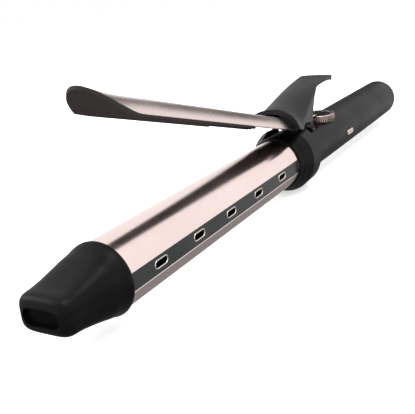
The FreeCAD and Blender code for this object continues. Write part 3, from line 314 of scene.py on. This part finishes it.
# %% Each CAD node gets its finish
FINISHES = {
    steel_rose: ["barrel_tube"],
    clamp_rose: ["clamp_plate"],
    bezel_chrome: ["vent_bezels"],
    soft_black: ["cool_tip", "front_ring", "collar", "handle_sleeve", "end_cap"],
    lever_charcoal: ["thumb_lever"],
    bracket_resin: ["clamp_bracket"],
    strip_resin: ["vent_strip"],
    inlay_black: ["tip_inlay"],
    liner_silicone: ["clamp_liner"],
    cast_aluminium: ["heater_block_upper", "heater_block_lower"],
    fired_ceramic: ["heating_plates"],
    sensor_bead: ["thermistor"],
    screw_zinc: ["thermal_fuse", "tip_screw", "handle_screws", "clamp_rivets"],
    lead_sleeve: ["heater_leads"],
    frame_nylon: ["air_duct", "tip_carrier", "inner_frame", "gland_retainer", "fan_housing",
                  "hinge_block"],
    spring_wire: ["fan_motor", "torsion_spring", "hinge_pin"],
    fan_acetal: ["fan_impeller"],
    board_mask: ["control_board"],
    package_epoxy: ["triac", "controller_chip", "potentiometer", "tact_switch"],
    capacitor_sleeve: ["capacitor"],
    gland_rubber: ["swivel_gland"],
    dial_rose: ["dial_ring"],
    dial_satin: ["dial_face"],
    dial_acetal: ["dial_shaft"],
    mark_white: ["dial_pointer"],
    button_satin: ["side_button"],
}
for material, names in FINISHES.items():
    for name in names:
        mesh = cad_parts[name].data
        mesh.materials.clear()
        mesh.materials.append(material)
finished = {name for names in FINISHES.values() for name in names}
print("nodes without a finish:", sorted(set(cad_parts) - finished))

# %% [markdown]
# ## Making pieces with Geometry Nodes
# Anything that repeats is one small shape and a rule. A tree takes that one shape as its geometry,
# puts copies of it on points, and ends by making the copies real and giving them their material. The
# result is then turned into a plain mesh, so that nothing later depends on the modifier.


# %% Helpers for pieces
def piece_from(name, mesh_maker):
    """A new object whose mesh is filled by mesh_maker(bm), with its faces turned outwards."""
    shape = bmesh.new()
    mesh_maker(shape)
    bmesh.ops.remove_doubles(shape, verts=shape.verts, dist=0.001 * MM)
    bmesh.ops.recalc_face_normals(shape, faces=shape.faces)
    mesh = bpy.data.meshes.new(name)
    shape.to_mesh(mesh)
    shape.free()
    piece = bpy.data.objects.new(name, mesh)
    bpy.context.scene.collection.objects.link(piece)
    return piece


def smooth(piece, degrees=35):
    """Shades a piece smooth except across edges sharper than the given angle."""
    for face in piece.data.polygons:
        face.use_smooth = True
    piece.data.set_sharp_from_angle(angle=math.radians(degrees))


def run_tree(piece, tree, values):
    """Runs a Geometry Nodes tree on a piece with named input values and keeps the plain result."""
    modifier = piece.modifiers.new(tree.name, "NODES")
    modifier.node_group = tree
    for item in tree.interface.items_tree:
        if item.in_out == "INPUT" and item.name in values:
            modifier[item.identifier] = values[item.name]
    bpy.context.view_layer.update()
    result = bpy.data.meshes.new_from_object(piece.evaluated_get(bpy.context.evaluated_depsgraph_get()))
    piece.modifiers.clear()
    piece.data = result
    result.name = piece.name
    print(piece.name, "has", len(result.polygons), "faces")
    return piece


def new_tree(name, inputs):
    """An empty Geometry Nodes tree with geometry in and out and the named inputs."""
    tree = bpy.data.node_groups.new(name, "GeometryNodeTree")
    tree.interface.new_socket("Geometry", in_out="INPUT", socket_type="NodeSocketGeometry")
    for label, kind in inputs:
        tree.interface.new_socket(label, in_out="INPUT", socket_type=f"NodeSocket{kind}")
    tree.interface.new_socket("Geometry", in_out="OUTPUT", socket_type="NodeSocketGeometry")
    return tree, tree.nodes.new("NodeGroupInput")


def end_tree(tree, geometry, material_socket):
    """Makes copies real, gives them their material and ends the tree."""
    real = add(tree, "GeometryNodeRealizeInstances", {"Geometry": geometry})
    coated = add(tree, "GeometryNodeSetMaterial", {"Geometry": real.outputs["Geometry"],
                                                  "Material": material_socket})
    add(tree, "NodeGroupOutput", {"Geometry": coated.outputs["Geometry"]})


# %% [markdown]
# ### Copies in a row
# The vent rims sit on a straight line at an even pitch, so the rule is a line of points.

# %% A tree for copies in a row
row_tree, row_in = new_tree("copies_in_a_row", [("Count", "Int"), ("Pitch", "Float"),
                                                ("Material", "Material")])
step = add(row_tree, "ShaderNodeCombineXYZ", {"X": row_in.outputs["Pitch"]})
line = add(row_tree, "GeometryNodeMeshLine", {"Count": row_in.outputs["Count"],
                                              "Offset": step.outputs["Vector"]}, mode="OFFSET")
row = add(row_tree, "GeometryNodeInstanceOnPoints", {"Points": line.outputs["Mesh"],
                                                     "Instance": row_in.outputs["Geometry"]})
end_tree(row_tree, row.outputs["Instances"], row_in.outputs["Material"])

# %% [markdown]
# ### Copies in a ring
# Knurling on the dial and the marks on its face repeat by angle. A circle gives the points, and each
# copy is turned so that its own X axis points away from the ring's middle.

# %% A tree for copies in a ring
ring_tree, ring_in = new_tree("copies_in_a_ring", [("Count", "Int"), ("Radius", "Float"),
                                                   ("Centre", "Vector"), ("Material", "Material")])
circle = add(ring_tree, "GeometryNodeMeshCircle", {"Vertices": ring_in.outputs["Count"],
                                                   "Radius": ring_in.outputs["Radius"]},
             fill_type="NONE")
outwards = add(ring_tree, "GeometryNodeInputPosition")
facing_out = add(ring_tree, "FunctionNodeAlignRotationToVector",
                 {"Vector": outwards.outputs["Position"]}, axis="X", pivot_axis="Z")
ring = add(ring_tree, "GeometryNodeInstanceOnPoints",
           {"Points": circle.outputs["Mesh"], "Instance": ring_in.outputs["Geometry"],
            "Rotation": facing_out.outputs["Rotation"]})
moved = add(ring_tree, "GeometryNodeTransform", {"Geometry": ring.outputs["Instances"],
                                                 "Translation": ring_in.outputs["Centre"]})
end_tree(ring_tree, moved.outputs["Geometry"], ring_in.outputs["Material"])


# %% [markdown]
# ## Vent rims
# Each vent has a bright plated rim: a rounded obround ring that stands a little proud of the strip.
# One rim is swept from a small round section along the obround, then copied down the strip.

# %% One rim, then five
def obround(centre, long, high, steps=12):
    """Points round an obround in the X-Z plane, centred on centre."""
    radius = high / 2
    half = long / 2 - radius
    points = []
    for side, start in ((1, -90), (-1, 90)):
        for i in range(steps + 1):
            turn = math.radians(start + 180 * i / steps)
            across, up = radius * math.cos(turn), radius * math.sin(turn)
            points.append(centre + Vector((side * half + across, 0, up)))
    return points


def swept_rim(shape, path, centre, section):
    """Sweeps a closed section (pairs of outward and sideways sizes) round a closed path in X-Z."""
    rows = []
    for i, point in enumerate(path):
        ahead = (path[(i + 1) % len(path)] - path[i - 1]).normalized()
        out = Vector((ahead.z, 0, -ahead.x))
        if out.dot(point - centre) < 0:
            out = -out
        rows.append([shape.verts.new(point + out * a + Vector((0, b, 0))) for a, b in section])
    count = len(section)
    for i in range(len(rows)):
        near, far = rows[i - 1], rows[i]
        for k in range(count):
            shape.faces.new((near[k], near[(k + 1) % count], far[(k + 1) % count], far[k]))


bezel_low, bezel_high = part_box("vent_bezels")
VENTS = 5
VENT_LONG = 8.1 * MM
VENT_HIGH = bezel_high.z - bezel_low.z
VENT_PITCH = (bezel_high.x - bezel_low.x - VENT_LONG) / (VENTS - 1)
RIM = 0.55 * MM
RIM_DEEP = 2.6 * MM
first_vent = Vector((bezel_low.x + VENT_LONG / 2, bezel_high.y, (bezel_low.z + bezel_high.z) / 2))
crown = [(RIM / 2 * math.cos(math.radians(a)), RIM / 2 * (math.sin(math.radians(a)) - 1))
         for a in range(0, 181, 20)]
rim_section = crown + [(-RIM / 2, -RIM_DEEP), (RIM / 2, -RIM_DEEP)]
rim_path = obround(first_vent, VENT_LONG - RIM, VENT_HIGH - RIM)
vent_rims = piece_from("vent_rims", lambda shape: swept_rim(shape, rim_path, first_vent, rim_section))
run_tree(vent_rims, row_tree, {"Count": VENTS, "Pitch": VENT_PITCH, "Material": bezel_chrome})
smooth(vent_rims, 50)
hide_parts("vent_bezels")
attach(vent_rims, "iron_body")

# %% [markdown]
# ## The lip of the barrel's slot
# The barrel is slotted for the strip. The lower cut edge is rolled outwards and polished, so it shows
# as a thin bright line along the strip. A straight bead is enough: a long thin rod on that edge.


# %% One bead
def bead(shape, start, end, radius, sides=10):
    """A closed round rod between two points that differ along X only."""
    rings = [[shape.verts.new(point + Vector((0, radius * math.cos(2 * math.pi * i / sides),
                                              radius * math.sin(2 * math.pi * i / sides))))
              for i in range(sides)] for point in (start, end)]
    for i in range(sides):
        shape.faces.new((rings[0][i - 1], rings[0][i], rings[1][i], rings[1][i - 1]))
    for ring in rings:
        shape.faces.new(ring)


strip_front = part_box("vent_strip")[1].x
barrel_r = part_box("barrel_tube")[1].y
ring_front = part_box("front_ring")[1].x
STRIP_HALF = 3.24 * MM
LIP_R = 0.20 * MM
LIP_HIDDEN = 1 * MM
lip_z = -STRIP_HALF - 0.7 * LIP_R
lip_y = math.sqrt(barrel_r ** 2 - lip_z ** 2) - 0.5 * LIP_R
lip_ends = [Vector((x, lip_y, lip_z)) for x in (ring_front - LIP_HIDDEN, strip_front)]
barrel_lip = piece_from("barrel_lip", lambda shape: bead(shape, *lip_ends, LIP_R))
barrel_lip.data.materials.append(bezel_chrome)
smooth(barrel_lip)
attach(barrel_lip, "iron_body")
print("lip is", round(lip_y / MM, 2), "mm from the axis")

# %% [markdown]
# ## The dial's knurled grip
# The dial is a turned ring with a bright flat rim and straight knurling round its side, so that a
# thumb can turn it. The ring is a profile turned about the dial's axis; the knurl is one small ridge
# copied round it.


# %% A turned ring
def turned_ring(shape, profile, centre, segments=128):
    """Turns a closed profile of (radius, height) pairs about an upright axis through centre."""
    rows = []
    for i in range(segments):
        turn = 2 * math.pi * i / segments
        rows.append([shape.verts.new((centre.x + r * math.cos(turn), centre.y + r * math.sin(turn), z))
                     for r, z in profile])
    count = len(profile)
    for i in range(segments):
        near, far = rows[i - 1], rows[i]
        for k in range(count):
            shape.faces.new((near[k], near[(k + 1) % count], far[(k + 1) % count], far[k]))


dial_low, dial_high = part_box("dial_ring")
dial_centre = (dial_low + dial_high) / 2
dial_r = (dial_high.x - dial_low.x) / 2
face_low, face_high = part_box("dial_face")
face_r = (face_high.x - face_low.x) / 2
RIDGE_PROUD = 0.42 * MM
EDGE = 0.35 * MM
core_r = dial_r - RIDGE_PROUD
inner_r = face_r + 0.06 * MM
grip_profile = [(inner_r, dial_low.z), (core_r - EDGE, dial_low.z), (core_r, dial_low.z + EDGE),
                (core_r, dial_high.z - 2 * EDGE), (core_r + 0.1 * MM, dial_high.z - EDGE),
                (core_r - 0.05 * MM, dial_high.z - 0.3 * EDGE), (core_r - EDGE, dial_high.z),
                (inner_r + 0.4 * EDGE, dial_high.z), (inner_r, dial_high.z - 0.4 * EDGE)]
dial_grip = piece_from("dial_grip", lambda shape: turned_ring(shape, grip_profile, dial_centre))
dial_grip.data.materials.append(dial_rose)
smooth(dial_grip)
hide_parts("dial_ring")
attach(dial_grip, "dial")


# %% The knurl
RIDGE_ROOT = -0.1 * MM


def ridge(shape, proud, half_wide, low, high):
    """A ridge with a rounded ridge line and chamfered ends, its foot on the X axis's zero."""
    side = [(RIDGE_ROOT, -half_wide), (proud * 0.7, -half_wide * 0.6), (proud, 0),
            (proud * 0.7, half_wide * 0.6), (RIDGE_ROOT, half_wide)]
    ends = []
    for z, share in ((low, 0.2), (low + proud, 1.0), (high - proud, 1.0), (high, 0.2)):
        ends.append([shape.verts.new((x * share if x > 0 else x, y, z)) for x, y in side])
    count = len(side)
    for near, far in zip(ends, ends[1:]):
        for k in range(count):
            shape.faces.new((near[k], near[(k + 1) % count], far[(k + 1) % count], far[k]))
    shape.faces.new(ends[0])
    shape.faces.new(ends[-1])


KNURLS = 52
KNURL_INSET_LOW, KNURL_INSET_HIGH = 0.3 * MM, 0.8 * MM
dial_axis = Vector((dial_centre.x, dial_centre.y, 0))
half_pitch = math.pi * core_r / KNURLS * 0.72
dial_knurl = piece_from("dial_knurl", lambda shape: ridge(
    shape, RIDGE_PROUD, half_pitch, dial_low.z + KNURL_INSET_LOW, dial_high.z - KNURL_INSET_HIGH))
run_tree(dial_knurl, ring_tree, {"Count": KNURLS, "Radius": core_r, "Centre": dial_axis,
                                 "Material": knurl_rose})
smooth(dial_knurl)
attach(dial_knurl, "dial")
print("knurl pitch", round(2 * math.pi * core_r / KNURLS / MM, 2), "mm")

# %% [markdown]
# ## Marks
# The dial's face has printed marks: a ring of short ticks that says how hot each setting is. They are
# thin raised prints, one tick copied in a ring. The side button has one small printed dash.


# %% Ticks on the dial, a dash on the button
def slab(shape, low, high):
    """A thin block between two corners."""
    middle = (Vector(low) + Vector(high)) / 2
    spread = Vector(high) - Vector(low)
    bmesh.ops.create_cube(shape, size=1.0, matrix=Matrix.Translation(middle) @ Matrix.Diagonal(
        (spread.x, spread.y, spread.z, 1.0)))
    bmesh.ops.bevel(shape, geom=shape.edges[:], offset=min(spread) * 0.3, segments=2, affect="EDGES")


PRINT = 0.05 * MM
TICKS = 24
TICK_HALF_LONG, TICK_HALF_WIDE, TICK_INSET = 0.45 * MM, 0.11 * MM, 1.1 * MM
dial_ticks = piece_from("dial_ticks", lambda shape: slab(
    shape, (-TICK_HALF_LONG, -TICK_HALF_WIDE, face_high.z - PRINT / 2),
    (TICK_HALF_LONG, TICK_HALF_WIDE, face_high.z + PRINT)))
run_tree(dial_ticks, ring_tree, {"Count": TICKS, "Radius": face_r - TICK_INSET, "Centre": dial_axis,
                                 "Material": mark_white})
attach(dial_ticks, "dial")

button_low, button_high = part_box("side_button")
button_middle = (button_low + button_high) / 2
DASH_HALF_LONG, DASH_HALF_HIGH = 0.9 * MM, 0.25 * MM
dash_low = (button_middle.x - DASH_HALF_LONG, button_high.y - PRINT, button_middle.z - DASH_HALF_HIGH)
dash_high = (button_middle.x + DASH_HALF_LONG, button_high.y + PRINT, button_middle.z + DASH_HALF_HIGH)
button_dash = piece_from("button_dash", lambda shape: slab(shape, dash_low, dash_high))
button_dash.data.materials.append(mark_grey)
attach(button_dash, "button")
